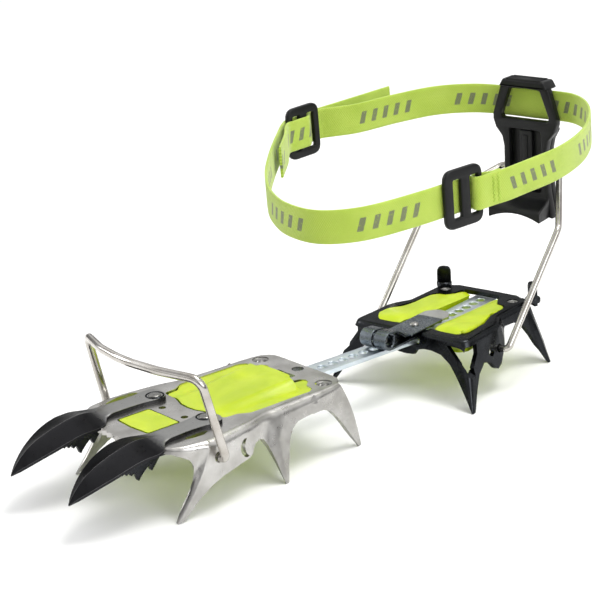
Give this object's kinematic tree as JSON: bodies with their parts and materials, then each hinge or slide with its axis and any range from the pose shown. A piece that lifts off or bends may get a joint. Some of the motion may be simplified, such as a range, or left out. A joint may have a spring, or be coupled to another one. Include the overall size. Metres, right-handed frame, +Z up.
{
  "type": "step-in crampon",
  "caption": "Step-in crampon with toothed front and heel frames, a perforated linking bar, wire bails, a heel lever and an ankle strap.",
  "frame": {"origin": "bottom centre of the whole crampon's bounding box, on the plane that the points stand on", "axes": "+X from heel to toe along the heel unit's centre line, +Y to the left, +Z up from the point tips to the boot"},
  "size_m": [0.385, 0.1776, 0.156],
  "materials": {
    "satin_stainless": "bead-blasted, satin stainless sheet with ground tooth edges",
    "black_steel": "black coated steel, low gloss",
    "point_steel": "black forged steel fading to grey on the arms",
    "zinc_steel": "bluish zinc-plated spring steel",
    "bright_wire": "polished stainless wire",
    "rivet_steel": "turned stainless rivet head",
    "lime_elastomer": "lime green satin elastomer",
    "black_plastic": "black moulded nylon, fine grain",
    "lime_webbing": "woven polyamide webbing, lime green"
  },
  "bodies": {
    "front_unit": {"front_frame": "satin_stainless", "front_point_left": "point_steel", "front_point_right": "point_steel", "secondary_teeth_left": "point_steel", "secondary_teeth_right": "point_steel", "front_point_rivets": "rivet_steel", "front_frame_rivets": "rivet_steel", "front_anti_ball_plate": "lime_elastomer", "front_anti_ball_insert": "lime_elastomer"},
    "toe_bail": {"toe_bail": "bright_wire"},
    "link_bar": {"link_bar": "zinc_steel"},
    "heel_unit": {"heel_frame": "black_steel", "heel_rivets": "rivet_steel", "heel_anti_ball_plate": "lime_elastomer", "clip_base": "black_steel", "clip_hinge_pin": "rivet_steel"},
    "adjuster_clip": {"adjuster_clip": "black_steel", "locking_pin": "rivet_steel"},
    "heel_bail": {"heel_bail": "bright_wire"},
    "heel_lever": {"heel_lever": "black_plastic", "lever_rib": "black_plastic", "rear_webbing": "lime_webbing", "front_webbing": "lime_webbing", "ladder_buckle": "black_plastic", "slider_buckle": "black_plastic"}
  },
  "joints": [
    {"name": "toe_bail_swing", "type": "hinge", "parent": "front_unit", "child": "toe_bail", "pos_m": [0.11044, -0.02535, 0.0273], "axis": [0.1987, 0.9801, 0], "range_deg": [-78, 46]},
    {"name": "bar_flex", "type": "hinge", "parent": "front_unit", "child": "link_bar", "pos_m": [0.02468, -0.00797, 0.03205], "axis": [0.1987, 0.9801, 0], "range_deg": [-2, 2]},
    {"name": "heel_slide", "type": "slide", "parent": "link_bar", "child": "heel_unit", "axis": [1, 0, 0], "range_m": [-0.0525, 0], "deforming": ["locking_pin"]},
    {"name": "clip_lift", "type": "hinge", "parent": "heel_unit", "child": "adjuster_clip", "pos_m": [-0.03116, 0.00903, 0.0402], "axis": [0, 1, 0], "range_deg": [0, 25], "stiffness_Nm_per_rad": 0.05, "springref_deg": -11.46},
    {"name": "heel_bail_swing", "type": "hinge", "parent": "heel_unit", "child": "heel_bail", "pos_m": [-0.08846, 0.00903, 0.024], "axis": [0, 1, 0], "range_deg": [-30, 12]},
    {"name": "heel_lever_swing", "type": "hinge", "parent": "heel_bail", "child": "heel_lever", "pos_m": [-0.18896, 0.00903, 0.1], "axis": [0, 1, 0], "range_deg": [-110, 0]}
  ]
}
